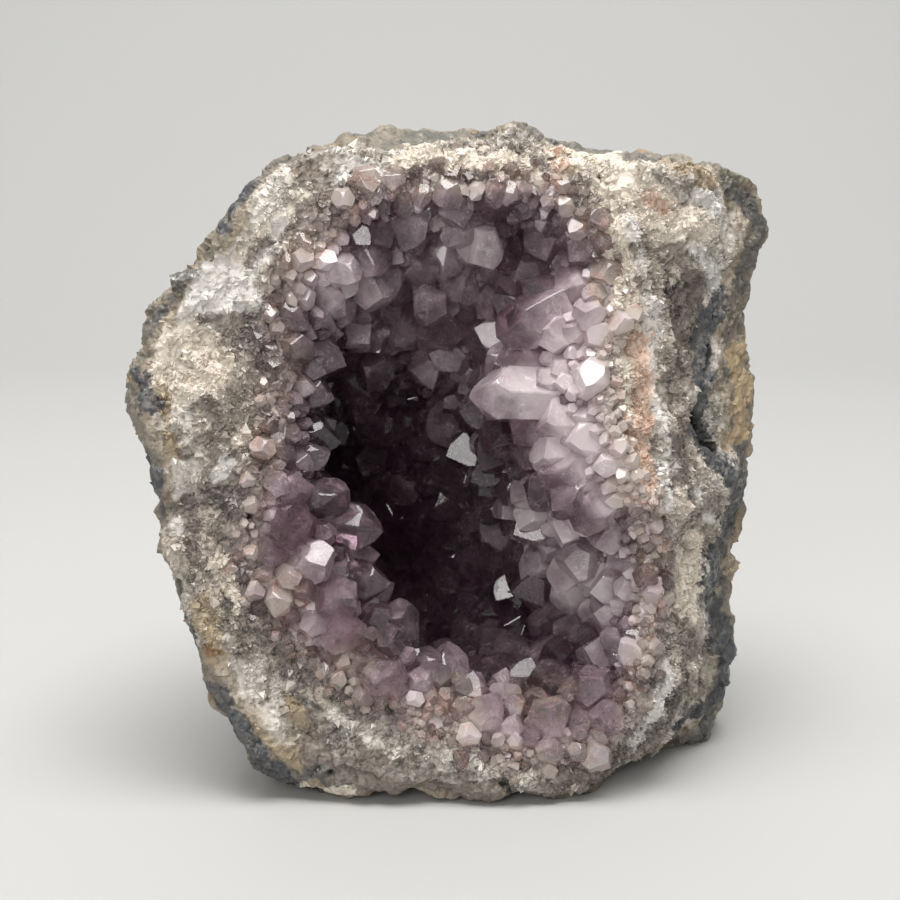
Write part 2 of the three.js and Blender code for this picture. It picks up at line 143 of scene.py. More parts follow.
STAIN_KINDS = ("cream", "white", "ochre", "rust", "salmon", "smoky", "dark", "black", "matrix")

# The agate rind's thickness along the stone's edge: x, z and thickness in mm.
RIND = [
    (-49, 65, 3), (-36, 85, 3.5), (-20, 97, 2.5), (9, 100, 2), (35, 95, 4), (50, 87, 4.5),
    (47, 60, 6.5), (47, 35, 6), (45, 10, 5), (25, 0, 1.5), (0, 0, 2.5), (-28, 5, 6),
    (-36, 18, 5), (-40, 28, 0.8), (-44, 40, 1.2), (-47, 50, 4),
]
RIND_USUAL = 3.5

# The raised edge where the broken face turns back on the right: (x, z) points.
CREST = [(26, 86), (29, 79), (31, 70), (32, 62), (33, 54), (34, 45), (33, 36)]
CREST_HEIGHT = 1.6
CHIPS = [(5.2, 1.7), (2.4, 1.0), (1.3, 0.55)]  # size of the broken facets and how much they stand out, mm
PIT_DEPTH = 1.3  # how deep the black pits of the broken face are, mm

ROCK_VOXEL = 0.5  # mm
ROCK_KEPT = 0.46  # share of the rock's triangles that is kept, most of them on the broken face and the foot
DENSE_WEIGHT = 0.02  # how freely triangles go there, against 1 elsewhere
FOOT_EDGE = 0.4  # the rock below this height, mm, is its flat foot
HOLLOW_REACH = 1.3  # rock this near to the CAD crust is the wall that the crystals grow from, mm
FAR_FROM_CRUST = 20  # mm
OUTSIDE = -4.0  # a stain's weight well away from it, mm

# The largest crystals: tip, the way each one points, and its radius.
LARGE = [
    ((2, -26, 62), (-0.86, -0.4, 0.1), 4.4), ((6, -24, 69.5), (-0.75, -0.45, -0.35), 3.8),
    ((2, -17, 83), (0.05, -0.9, -0.3), 3.2), ((-10, -19, 75), (0.35, -0.85, -0.1), 3.6),
    ((-3, -16, 74.5), (0, -0.9, 0.25), 3.1), ((-14.5, -27, 47.5), (0.8, -0.45, 0.35), 3.3),
    ((-9.5, -25, 40.5), (0.9, -0.3, -0.1), 3.6), ((-8.5, -26, 33), (0.9, -0.3, 0), 3.0),
    ((-7, -28, 28.5), (0.25, -0.85, 0.45), 3.9), ((-2, -28, 21.5), (0.1, -0.45, 0.88), 2.9),
    ((3.5, -27, 19.5), (0.05, -0.3, 0.95), 2.6), ((12.5, -27, 49.5), (-0.85, -0.5, 0.1), 3.9),
    ((14.5, -29, 44.5), (-0.6, -0.75, -0.25), 3.4), ((17, -21, 34.5), (-0.55, -0.8, 0.1), 3.4),
]

# Where the crystals are paler or darker than their place alone makes them: x, y, z, radius and by how much.
# Most spots are the crystals' own tone, such as the whitish bulge on the right. The paler spots deep in the
# hollow, from y = -16 back, are painted light on the inner wall. The darker spot deep on the left and the
# one under the bulge's ledge are painted shade.
TONES_PAINTED_LIGHT_AND_SHADE = [
    (9, -24, 64, 9, 0.35), (19, -23, 72, 11, 0.42), (22, -24, 61, 12, 0.42), (25, -25, 50, 9, 0.35),
    (28, -24, 68, 9, 0.3), (31, -25, 57, 8, 0.3), (16, -22, 52, 7, 0.2), (26, -24, 32, 12, 0.2),
    (14, -20, 32, 15, 0.2), (-16, -22, 78, 9, 0.3), (-20, -24, 60, 14, -0.04), (-22, -25, 42, 14, 0.02),
    (-14, -26, 28, 12, 0.06), (-2, -8, 72, 18, 0.24), (-14, 3, 38, 14, -0.35), (18, -20, 40, 7, -0.12),
    (0, -26, 10, 14, 0.04), (0, -18, 88, 9, 0.15), (10, -8, 52, 14, 0.16), (14, -12, 34, 15, 0.34),
    (2, -2, 66, 14, 0.08), (6, -16, 20, 12, 0.15), (8, 4, 34, 12, 0.2),
]
# Where iron or fine quartz warms the crystals' colour: x, y, z and radius in mm.
WARM = [
    (28, -25, 57, 7), (28, -26, 48, 7), (27, -22, 68, 6), (25, -22, 78, 7), (30, -26, 36, 5),
    (-24, -24, 66, 6), (-14, -28, 22, 8), (0, -28, 13, 9), (14, -27, 15, 8), (-24, -27, 33, 7),
]

CRYSTAL_CLASSES = (3.6, 3.1, 2.7, 2.3, 1.95, 1.6, 1.3, 1.0, 0.8)  # radii, mm, placed from the largest down
WALL_SAMPLES = 22000
HOLLOW_MIDDLE = (-4, -8, 50)  # what the crystals near the mouth lean towards
TOWARDS_MIDDLE = 0.5  # how strongly they do
TOWARDS_FRONT = np.array((0, -0.55, 0))  # all of them lean out of the hollow
CRYSTAL_SCATTER = 0.24
CRYSTAL_STAND = (0.95, 1.75)  # how far a tip stands out of the bed, in radii
CAP_LEAN = math.radians(51.8)  # between the axis of a quartz crystal and the normals of its tip's faces
MOUTH_SPREAD = 5.5  # how far out on the broken face the smallest crystals still stand, mm
CRYSTAL_SPACING = 0.72  # least distance between two crystals, in sums of their radii
CHAMFERED_FROM = 1.5  # crystals of a larger radius have worn edges that catch the light, mm
CHAMFER = 0.016  # how deep an edge is worn, in radii

GRAIN_COUNT = 24000
GRAIN_SIDES = 5
GRAIN_RADIUS = (0.28, 0.55)  # of most grains, mm; a few are larger
GRAIN_SCATTER = 0.45
# The share of the grains that stays on stains that are smoother than the rest.
GRAINS_KEPT = {"dark": 0.0, "white": 0.15, "smoky": 0.2, "cream": 0.5, "matrix": 0.1}


def smooth(value, low, high):
    """0 below low, 1 above high, and a soft step between them."""
    share = np.clip((np.asarray(value, float) - low) / (high - low), 0, 1)
    return share * share * (3 - 2 * share)


def points_of(mesh):
    flat = np.empty(len(mesh.vertices) * 3, np.float32)
    mesh.vertices.foreach_get("co", flat)
    return flat.reshape(-1, 3).astype(float)


def normals_of(mesh):
    flat = np.empty(len(mesh.vertices) * 3, np.float32)
    mesh.vertices.foreach_get("normal", flat)
    return flat.reshape(-1, 3).astype(float)


def edges_of(mesh):
    flat = np.empty(len(mesh.edges) * 2, np.int32)
    mesh.edges.foreach_get("vertices", flat)
    return flat.reshape(-1, 2)


def set_points(mesh, points):
    mesh.vertices.foreach_set("co", points.astype(np.float32).ravel())
    mesh.update()


def set_attribute(mesh, name, values):
    layer = mesh.attributes.new(name, "FLOAT", "POINT")
    layer.data.foreach_set("value", np.asarray(values, np.float32))


def attribute_of(mesh, name):
    values = np.empty(len(mesh.vertices), np.float32)
    mesh.attributes[name].data.foreach_get("value", values)
    return values.astype(float)


def new_object(name, mesh):
    made = bpy.data.objects.new(name, mesh)
    bpy.context.collection.objects.link(made)
    return made


def evaluated_mesh(thing):
    graph = bpy.context.evaluated_depsgraph_get()
    return bpy.data.meshes.new_from_object(thing.evaluated_get(graph))


def bvh_of(mesh):
    points = [v.co for v in mesh.vertices]
    return BVHTree.FromPolygons(points, [tuple(p.vertices) for p in mesh.polygons])


def distances(tree, points):
    return np.array([tree.find_nearest(Vector(p))[3] for p in points])


def kd_of(points):
    tree = KDTree(len(points))
    for i, point in enumerate(points):
        tree.insert(point, i)
    tree.balance()
    return tree


# The rock


def remeshed(source, voxel_mm):
    copy = new_object("rock_blank", source.data.copy())
    step = copy.modifiers.new("voxels", "REMESH")
    step.mode = "VOXEL"
    step.voxel_size = voxel_mm * MM
    mesh = evaluated_mesh(copy)
    bpy.data.objects.remove(copy)
    return mesh


def placed_flat(corner):
    """An (x, z) pair of the tables in the shared frame, mm."""
    return np.add(corner, PLACE[[0, 2]])


def outline_depth(points_mm):
    """How far in front of the stone's widest section each point lies, mm."""
    corners = np.array(OUTLINE) + PLACE
    middle = placed_flat(OUTLINE_MIDDLE)
    angles = np.arctan2(corners[:, 2] - middle[1], corners[:, 0] - middle[0])
    order = np.argsort(angles)
    own = np.arctan2(points_mm[:, 2] - middle[1], points_mm[:, 0] - middle[0])
    section = np.interp(own, angles[order], corners[order, 1], period=2 * math.pi)
    return section - points_mm[:, 1]


def chips(point, size):
    """Flat broken facets: each cell is a plane with its own tilt. The height is in cells."""
    where = Vector(point) / size
    centre = noise.voronoi(where)[1][0]
    tilt = noise.noise_vector(centre * 3.7)
    return (where - centre).dot(tilt)


def rind_thickness(points):
    """How thick the agate rind is near each point, mm."""
    share = np.zeros(len(points))
    total = np.zeros(len(points))
    for x, z, thickness in RIND:
        near = 1 / (1 + (points[:, 0] - x) ** 2 + (points[:, 2] - z) ** 2) ** 1.5
        share += near
        total += near * thickness
    return total / share


def run_distance(flat, corners):
    """How far points are from a line through the corners, or from the one corner, mm."""
    best = np.full(len(flat), np.inf)
    for start, end in zip(corners, corners[1:] or corners):
        along = np.subtract(end, start)
        share = (flat - start) @ along / max(along @ along, 1e-9)
        nearest = start + np.clip(share, 0, 1)[:, None] * along
        best = np.minimum(best, np.linalg.norm(flat - nearest, axis=1))
    return best


def stain_weights(points, broken):
    """For each kind of stain, how far inside its nearest edge a point is, mm: negative outside."""
    weights = {kind: np.full(len(points), OUTSIDE) for kind in STAIN_KINDS}
    flat = points[:, [0, 2]]
    for kind, half_width, *corners in STAINS:
        placed = [placed_flat(corner) for corner in corners]
        weights[kind] = np.maximum(weights[kind], half_width - run_distance(flat, placed))
    return {kind: np.where(broken, weight, OUTSIDE) for kind, weight in weights.items()}


def rock_zones(mesh, crust_tree):
    """The rock's points, which of them are broken or in the hollow, and how far in from the skin each is."""
    points = points_of(mesh) / MM
    ahead = outline_depth(points) + 9 * np.clip(-0.25 - normals_of(mesh)[:, 1], 0, 0.6)
    ahead += np.array([1.2 * noise.noise(Vector(p) / 5) for p in points])
    to_crust = distances(crust_tree, points * MM) / MM
    hollow = to_crust < HOLLOW_REACH
    broken = (ahead > 0) & ~hollow
    skin = kd_of(points[~broken & ~hollow][::3])
    depth = np.zeros(len(points))
    for i in np.flatnonzero(broken):
        depth[i] = skin.find(points[i])[2]
    depth *= RIND_USUAL / rind_thickness(points)
    return points, broken, hollow, depth, to_crust


def broken_height(point):
    """Faceted chips of three sizes over a soft swell, mm."""
    height = sum(high * chips(point, size) for size, high in CHIPS)
    return height + 0.9 * noise.fractal(Vector(point) / 7, 1.0, 2.0, 4)


def skin_height(point):
    """Knobs, swells and pits of the geode's outside, mm."""
    where = Vector(point)
    bent = where + 1.6 * noise.noise_vector(where / 6)
    knobs = 0.45 - noise.voronoi(bent / 5.5)[0][0]
    small_knobs = 0.45 - noise.voronoi(bent / 2.3)[0][0]
    pits = max(0.0, noise.noise(bent / 3.4) - 0.22)
    swell = noise.fractal(where / 8, 0.9, 2.1, 5)
    return 1.1 * swell + 1.7 * knobs + 0.6 * small_knobs - 3.4 * pits


def relief_of(points, broken, hollow, weights):
    """How far the surface stands out or sinks in at each point, mm."""
    crest = run_distance(points[:, [0, 2]], [placed_flat(corner) for corner in CREST])
    relief = np.zeros(len(points))
    for i in np.flatnonzero(~hollow):
        relief[i] = broken_height(points[i]) if broken[i] else skin_height(points[i])
    lifted = CREST_HEIGHT * (1 - smooth(crest, 0.2, 3.0))
    lifted -= PIT_DEPTH * smooth(weights["black"], -0.1, 0.6)
    return relief + np.where(broken & ~hollow, lifted, 0)


def roughened(points, normals, relief):
    """The points moved out by the relief, with the foot kept flat."""
    moved = points + normals * relief[:, None]
    moved[:, 2] = np.where(points[:, 2] < FOOT_EDGE, 0, np.maximum(moved[:, 2], 0))
    return moved


def thinned(thing, weights):
    """Takes triangles away where the weights are high."""
    group = thing.vertex_groups.new(name="plain")
    for weight in np.unique(weights):
        group.add(np.flatnonzero(weights == weight).tolist(), float(weight), "REPLACE")
    step = thing.modifiers.new("thin", "DECIMATE")
    step.ratio = ROCK_KEPT
    step.vertex_group = group.name
    mesh = evaluated_mesh(thing)
    thing.modifiers.clear()
    thing.vertex_groups.clear()
    thing.data = mesh
    return thing


def build_rock():
    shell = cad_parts["geode_shell"]
    crust_tree = bvh_of(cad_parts["crystal_crust"].data)
    mesh = remeshed(shell, ROCK_VOXEL)
    points, broken, hollow, depth, to_crust = rock_zones(mesh, crust_tree)
    normals = normals_of(mesh)
    weights = stain_weights(points, broken)
    relief = relief_of(points, broken, hollow, weights)
    set_points(mesh, roughened(points, normals, relief) * MM)
    pale = np.zeros(len(points))
    mouth = np.zeros(len(points))
    # The wall under the crystals gets the same paleness, including the painted light on the inner wall and
    # the painted shade deep in the hollow.
    pale[hollow], inward = paleness(points[hollow], edge_of(points, broken))
    mouth[hollow] = 1 - smooth(inward, 2.0, MOUTH_SPREAD)
    zones = {"broken": broken, "hollow": hollow, "mouth": mouth, "pale": pale, "relief": relief}
    zones.update(depth=depth, to_crust=np.minimum(to_crust, FAR_FROM_CRUST))
    zones.update(weights)
    for name, values in zones.items():
        set_attribute(mesh, name, values)
    mesh.materials.clear()
    mesh.materials.append(rock_material("rock"))
    dense = broken | (points[:, 2] < FOOT_EDGE)
    rock = thinned(new_object("rock", mesh), np.where(dense, DENSE_WEIGHT, 1.0))
    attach(rock, "root")
    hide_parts("geode_shell")
    return rock, points, normals, zones


# The sugary quartz


def grain_tips(count, rng):
    """Small uneven tips of about unit size: for each a tip and a ring of foot points."""
    even = np.arange(GRAIN_SIDES) * 2 * math.pi / GRAIN_SIDES
    angles = even + rng.normal(0, 0.12, (count, GRAIN_SIDES))
    reach = rng.uniform(0.75, 1.15, (count, GRAIN_SIDES))
    sunk = rng.uniform(-1.9, -1.2, (count, GRAIN_SIDES))
    feet = np.stack([reach * np.cos(angles), reach * np.sin(angles), sunk], axis=2)
    tips = np.zeros((count, 1, 3))
    tips[:, 0, :2] = rng.normal(0, 0.22, (count, 2))
    return np.concatenate([tips, feet], axis=1)


def grain_faces(count):
    """The sides and the underside of each tip."""
    faces = []
    for start in range(0, count * (GRAIN_SIDES + 1), GRAIN_SIDES + 1):
        feet = [start + 1 + i for i in range(GRAIN_SIDES)]
        faces += [(start, feet[i], feet[(i + 1) % GRAIN_SIDES]) for i in range(GRAIN_SIDES)]
        faces.append(tuple(reversed(feet)))
    return faces


def frames_along(directions, rng):
    """For each direction, a turn that carries +Z onto it with a random spin."""
    side = np.cross(directions, rng.normal(0, 1, directions.shape))
    side /= np.linalg.norm(side, axis=1)[:, None]
    return np.stack([side, np.cross(directions, side), directions], axis=2)


def grain_chance(surface, zones):
    """How likely a grain is at each point of the rock: none on smooth agate, most near the crystals."""
    chance = zones["broken"] * smooth(zones["depth"], 3.0, 8.0)
    chance = chance * (0.25 + 0.75 * smooth(12 - zones["to_crust"], 0, 7))
    chance = chance + 1.5 * zones["mouth"]
    for kind, kept in GRAINS_KEPT.items():
        chance = chance * (1 - (1 - kept) * smooth(zones[kind], -0.5, 0.5))
    return chance * np.array([0.08 + smooth(noise.noise(Vector(p) / 5), -0.3, 0.25) for p in surface])


def build_grains(rock, names):
    rng = np.random.default_rng(11)
    zones = {name: attribute_of(rock.data, name) for name in names}
    surface = points_of(rock.data) / MM
    edges = edges_of(rock.data)
    chance = grain_chance(surface, zones)[edges[:, 0]]
    picks = edges[rng.choice(len(edges), GRAIN_COUNT, replace=False, p=chance / chance.sum())]
    between = rng.random((GRAIN_COUNT, 1))
    places = surface[picks[:, 0]] * between + surface[picks[:, 1]] * (1 - between)
    sizes = rng.uniform(*GRAIN_RADIUS, GRAIN_COUNT) + 0.6 * rng.random(GRAIN_COUNT) ** 5
    along = normals_of(rock.data)[picks[:, 0]] + rng.normal(0, GRAIN_SCATTER, (GRAIN_COUNT, 3))
    along /= np.linalg.norm(along, axis=1)[:, None]
    shapes = grain_tips(GRAIN_COUNT, rng) * sizes[:, None, None]
    points = np.einsum("nij,nkj->nki", frames_along(along, rng), shapes)
    points += (places + along * sizes[:, None] * 0.85)[:, None, :]
    mesh = bpy.data.meshes.new("quartz_grains")
    mesh.from_pydata((points * MM).reshape(-1, 3), [], grain_faces(GRAIN_COUNT))
    for name, values in zones.items():
        set_attribute(mesh, name, np.repeat(values[picks[:, 0]], GRAIN_SIDES + 1))
    mesh.materials.append(rock_material("quartz_sugar", grain=True))
    grains = new_object("quartz_grains", mesh)
    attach(grains, "root")
    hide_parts("geode_shell")


# The crystals


def crystal_planes(radius, length, rng):
    """A quartz crystal along +Z with its tip at the origin, as outward normals and their offsets."""
    sides = []
    caps = []
    for i in range(6):
        turn = math.pi * i / 3
        side = np.array((math.cos(turn), math.sin(turn), 0))
        sides.append((side, radius * rng.uniform(0.8, 1.12)))
        step = rng.uniform(0.0, 0.2) if i % 2 else rng.uniform(-0.24, -0.04)
        caps.append((math.sin(CAP_LEAN) * side + (0, 0, math.cos(CAP_LEAN)), radius * step))
    planes = sides + caps + [(np.array((0, 0, -1)), length)]
    if radius > CHAMFERED_FROM:
        pairs = [(caps[i], caps[i - 1]) for i in range(6)] + [(caps[i], sides[i]) for i in range(6)]
        pairs += [(sides[i], sides[i - 1]) for i in range(6)]
        for first, second in pairs:
            planes.append(chamfer(first, second, CHAMFER * radius * rng.uniform(0.6, 1.5)))
    return np.array([p[0] for p in planes]), np.array([p[1] for p in planes])


def chamfer(first, second, depth):
    """The plane that takes the edge between two planes off by the depth."""
    across = first[0] + second[0]
    size = np.linalg.norm(across)
    return across / size, (first[1] + second[1]) / size - depth


def corners_of(normals, offsets):
    """The corners and faces of the convex solid inside all the planes."""
    count = len(normals)
    triples = np.array([(i, j, k) for i in range(count) for j in range(i) for k in range(j)])
    systems = normals[triples]
    solvable = np.abs(np.linalg.det(systems)) > 1e-6
    triples, systems = triples[solvable], systems[solvable]
    corners = np.linalg.solve(systems, offsets[triples][..., None])[..., 0]
    inside = (corners @ normals.T <= offsets + 1e-7).all(axis=1)
    corners, which = np.unique(np.round(corners[inside], 6), axis=0, return_inverse=True)
    triples = triples[inside]
    which = which.ravel()
    faces = []
    for plane in range(count):
        on = np.unique(which[(triples == plane).any(axis=1)])
        if len(on) < 3:
            continue
        normal = normals[plane]
        middle = corners[on].mean(axis=0)
        across = np.cross(normal, (0.31, 0.77, 0.56))
        along = np.cross(normal, across)
        spokes = corners[on] - middle
        faces.append([int(i) for i in on[np.argsort(np.arctan2(spokes @ along, spokes @ across))]])
    return corners, faces


def turned(points, along, spin):
    """The points spun round +Z, which is then carried onto the direction."""
    turn = Vector((0, 0, 1)).rotation_difference(Vector(along)).to_matrix()
    cos, sin = math.cos(spin), math.sin(spin)
    rolled = np.array([[cos, -sin, 0], [sin, cos, 0], [0, 0, 1]])
    return points @ (np.array(turn) @ rolled).T


def wall_samples(points, normals, zones, rng, count):
    """Random places on the hollow's wall and round its mouth, their normals and how far in they are."""
    edge = edge_of(points, zones["broken"])
    chance = zones["hollow"] + zones["broken"] * (1 - smooth(zones["to_crust"], 1.0, MOUTH_SPREAD)) ** 2
    picks = rng.choice(len(points), count, replace=False, p=chance / chance.sum())
    inward = np.array([edge.find(points[i])[2] for i in picks])
    return points[picks], normals[picks], inward


def large_crystals():
    """The tip, direction and radius of each large crystal in the shared frame."""
    placed = []
    for tip, along, radius in LARGE:
        placed.append((np.array(tip) + PLACE, np.array(along) / np.linalg.norm(along), radius))
    return placed


def place_crystals(points, normals, zones, rng):
    """The large crystals, and ever smaller ones between them: foot, wall normal, radius and so on."""
    where, facing, inward = wall_samples(points, normals, zones, rng, WALL_SAMPLES)
    middle = np.array(HOLLOW_MIDDLE) + PLACE
    large = large_crystals()
    feet = np.array([tip - 2.0 * radius * along for tip, along, radius in large])
    radii = np.array([0.9 * radius for _, _, radius in large])
    patchy = np.array([0.8 + 1.1 * noise.noise(Vector(p) / 5) for p in where])
    largest = (1.5 + 0.34 * inward) * np.clip(patchy, 0.35, 1.4)
    largest = np.where(inward > 0.1, np.maximum(largest, 1.05 * CRYSTAL_CLASSES[-1]), largest)
    crystals = []
    for radius in CRYSTAL_CLASSES:
        for i in np.flatnonzero(largest >= radius):
            own = radius * rng.uniform(0.88, 1.12)
            gap = np.linalg.norm(feet - where[i], axis=1)
            if (gap < CRYSTAL_SPACING * (radii + own)).any():
                continue
            feet = np.vstack([feet, where[i]])
            radii = np.append(radii, own)
            crystals.append((where[i], facing[i], own, inward[i], middle - where[i]))
    return large, crystals


def large_solid(crystal, rng):
    """The corners, faces and tone of one large crystal."""
    tip, along, radius = crystal
    corners, faces = corners_of(*crystal_planes(radius * 0.92, 3.4 * radius, rng))
    return turned(corners, along, rng.uniform(0, math.pi)) + tip, faces, rng.normal(0.1, 0.1)


def crystal_solid(crystal, rng):
    """The corners, faces and tone of one crystal that stands on the wall."""
    foot, facing, radius, inward, to_middle = crystal
    depth = min(1.0, inward / 12)
    along = facing + (1 - depth) * TOWARDS_MIDDLE * to_middle / np.linalg.norm(to_middle) + TOWARDS_FRONT
    along = along / np.linalg.norm(along) + rng.normal(0, CRYSTAL_SCATTER, 3)
    along /= np.linalg.norm(along)
    slope = math.sqrt(max(0.0, 1 - float(along @ facing) ** 2))
    bed = 0.3 + 2.2 * min(1.0, inward / 6)
    stand = bed + radius * rng.uniform(*CRYSTAL_STAND)
    root = 0.4 + radius * min(0.9, slope)
    planes, offsets = crystal_planes(radius * 0.92, stand + root, rng)
    corners, faces = corners_of(planes, offsets)
    return turned(corners, along, rng.uniform(0, math.pi)) + foot + along * stand, faces, rng.normal(0, 0.16)


def joined(solids):
    """One mesh from solids that don't touch, with each one's tone on its faces."""
    points = []
    faces = []
    tones = []
    start = 0
    for corners, own_faces, tone in solids:
        points.extend(map(tuple, corners * MM))
        faces.extend([i + start for i in face] for face in own_faces)
        tones.extend([tone] * len(own_faces))
        start += len(corners)
    mesh = bpy.data.meshes.new("crystals")
    mesh.from_pydata(points, [], faces)
    layer = mesh.attributes.new("tone", "FLOAT", "FACE")
    layer.data.foreach_set("value", np.array(tones, np.float32))
    return mesh


def apart_batches(solids):
    """Sorts the solids into batches in which no two touch."""
    batches = []
    for solid in solids:
        low, high = solid[0].min(axis=0), solid[0].max(axis=0)
        for batch in batches:
            if all((low > h).any() or (high < l).any() for l, h, _ in batch):
                batch.append((low, high, solid))
                break
        else:
            batches.append([(low, high, solid)])
    return [[solid for _, _, solid in batch] for batch in batches]


def united(solids):
    """One closed mesh from overlapping solids."""
    batches = apart_batches(solids)
    body = new_object("crust_body", joined(batches[0]))
    for batch in batches[1:]:
        other = new_object("crust_batch", joined(batch))
        join = body.modifiers.new("join", "BOOLEAN")
        join.operation = "UNION"
        join.solver = "MANIFOLD"
        join.object = other
        mesh = evaluated_mesh(body)
        body.modifiers.clear()
        body.data = mesh
        bpy.data.objects.remove(other)
    return body


def edge_of(points, broken):
    """A tree of points on the broken face, to measure how far in from the mouth something is."""
    return kd_of(points[broken][::2])


def paleness(points, edge):
    """1 where the crystals are pale and cloudy, 0 where they are deep purple, and less in the dark. The tone
    table adds painted light on the inner wall and painted shade deep in the hollow.
    """
    inward = np.array([edge.find(p)[2] for p in points])
    pale = 0.2 * (1 - smooth(inward, 1, 9)) + 0.26 * (1 - smooth(inward, 6, 26)) + 0.12
    for x, y, z, radius, amount in TONES_PAINTED_LIGHT_AND_SHADE:
        away = np.linalg.norm(points - (np.array((x, y, z)) + PLACE), axis=1)
        pale += amount * (1 - smooth(away, 0.55 * radius, radius))
    return pale, inward


def warmth(points, inward):
    """1 where the crystals are cream or salmon instead of purple."""
    warm = 0.8 * (1 - smooth(inward, 0.5, 5.5))
    for x, y, z, radius in WARM:
        away = np.linalg.norm(points - (np.array((x, y, z)) + PLACE), axis=1)
        warm = np.maximum(warm, 0.9 * (1 - smooth(away, 0.45 * radius, radius)))
    return warm


def build_crust(points, normals, zones):
    rng = np.random.default_rng(5)
    large, crystals = place_crystals(points, normals, zones, rng)
    solids = [large_solid(crystal, rng) for crystal in large]
    solids += [crystal_solid(crystal, rng) for crystal in crystals]
    crust = united(solids)
    crust.name = "amethyst_crystals"
    mesh = crust.data
    mesh.materials.clear()
    mesh.materials.append(amethyst_material("amethyst"))
    places = points_of(mesh) / MM
    # pale holds the crystals' own paling towards the mouth, plus painted light on the inner wall and painted
    # shade deep in the hollow.
    pale, inward = paleness(places, edge_of(points, zones["broken"]))
    set_attribute(mesh, "pale", pale)
    set_attribute(mesh, "warm", warmth(places, inward))
    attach(crust, "root")
    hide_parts("crystal_crust")


# The materials


def new_material(name):
    material = bpy.data.materials.new(name)
    material.use_nodes = True
    tree = material.node_tree
    tree.nodes.clear()
    out = tree.nodes.new("ShaderNodeOutputMaterial")
    shader = tree.nodes.new("ShaderNodeBsdfPrincipled")
    tree.links.new(shader.outputs["BSDF"], out.inputs["Surface"])
    return material, tree, shader


class Graph:
    """Short names for building a material's nodes."""

    def __init__(self, name):
        self.material, self.tree, self.shader = new_material(name)
        self.place = self.tree.nodes.new("ShaderNodeTexCoord").outputs["Object"]
        self.noises = {}

    def put(self, socket, value):
        if isinstance(value, bpy.types.NodeSocket):
            self.tree.links.new(value, socket)
        elif isinstance(value, tuple) and len(value) == 3 and socket.type == "RGBA":
            socket.default_value = (*value, 1)
        else:
            socket.default_value = value

    def attribute(self, name):
        node = self.tree.nodes.new("ShaderNodeAttribute")
        node.attribute_name = name
        return node.outputs["Fac"]

    def maths(self, operation, first, second=0.0):
        node = self.tree.nodes.new("ShaderNodeMath")
        node.operation = operation
        self.put(node.inputs[0], first)
        self.put(node.inputs[1], second)
        return node.outputs[0]

    def mix(self, share, first, second, blend="MIX"):
        node = self.tree.nodes.new("ShaderNodeMix")
        node.data_type = "RGBA"
        node.blend_type = blend
        self.put(node.inputs[0], share)
        self.put(node.inputs[6], first)
        self.put(node.inputs[7], second)
        return node.outputs[2]

    def step(self, value, low, high, bottom=0.0, top=1.0):
        """Bottom at low, top at high and a soft step between them."""
        node = self.tree.nodes.new("ShaderNodeMapRange")
        node.interpolation_type = "SMOOTHSTEP"
        for socket, number in zip(node.inputs[:5], (value, low, high, bottom, top)):
            self.put(socket, number)
        return node.outputs[0]

    def spread(self, noise, width):
        """A noise turned into a swing of the width about zero."""
        return self.maths("MULTIPLY", self.maths("SUBTRACT", noise, 0.5), width)

    def noise(self, size, detail=3.0, rough=0.55, warp=0.0):
        """Noise with spots of about the size in mm. The same noise is made only once."""
        key = (size, detail, rough, warp)
        if key in self.noises:
            return self.noises[key]
        node = self.tree.nodes.new("ShaderNodeTexNoise")
        self.noises[key] = node.outputs["Fac"]
        self.put(node.inputs["Vector"], self.place)
        node.inputs["Scale"].default_value = 1000 / size
        node.inputs["Detail"].default_value = detail
        node.inputs["Roughness"].default_value = rough
        node.inputs["Distortion"].default_value = warp
        return node.outputs["Fac"]

    def cells(self, size):
        """The distance from the middles of cells of about the size in mm."""
        node = self.tree.nodes.new("ShaderNodeTexVoronoi")
        self.put(node.inputs["Vector"], self.place)
        node.inputs["Scale"].default_value = 1000 / size
        return node.outputs["Distance"]

    def absorb(self, colour, density):
        """Colours light by how far it runs inside the body."""
        node = self.tree.nodes.new("ShaderNodeVolumeAbsorption")
        node.inputs["Color"].default_value = (*colour, 1)
        node.inputs["Density"].default_value = density
        self.tree.links.new(node.outputs["Volume"], self.tree.nodes["Material Output"].inputs["Volume"])

    def bump(self, height, strength, distance_mm, after=None):
        node = self.tree.nodes.new("ShaderNodeBump")
        node.inputs["Strength"].default_value = strength
        node.inputs["Distance"].default_value = distance_mm * MM
        self.put(node.inputs["Height"], height)
        if after is not None:
            self.put(node.inputs["Normal"], after)
        return node.outputs["Normal"]


# The noises that the rock's colours share: spot size in mm, detail, roughness and warp.
COARSE = (11, 5, 0.62, 0.5)
SOFT = (7.5, 4, 0.58)
MEDIUM = (5, 5, 0.65, 0.3)
RAGGED = (4, 6, 0.68)
FINE = (1.5, 4, 0.65)
TINY = (0.75, 3, 0.6)

SKIN_DARK, SKIN_LIGHT = (0.105, 0.10, 0.085), (0.25, 0.215, 0.165)
SKIN_OCHRE = (0.29, 0.195, 0.10)
SKIN_BLOOM = (0.42, 0.385, 0.33)
SKIN_WORN = (0.38, 0.33, 0.26)
SKIN_PIT = (0.045, 0.038, 0.03)
QUARTZ_PALE, QUARTZ_MIDDLE, QUARTZ_DARK = (0.46, 0.405, 0.345), (0.25, 0.217, 0.183), (0.10, 0.087, 0.076)
GRAIN_PALE, GRAIN_MIDDLE, GRAIN_DARK = (0.51, 0.45, 0.39), (0.29, 0.252, 0.214), (0.13, 0.113, 0.10)
QUARTZ_NEAR_CRYSTALS = (0.33, 0.26, 0.265)
AGATE_DARK, AGATE_BROWN, AGATE_GREY = (0.085, 0.082, 0.078), (0.22, 0.185, 0.14), (0.26, 0.24, 0.21)
CHALCEDONY = (0.60, 0.56, 0.51)
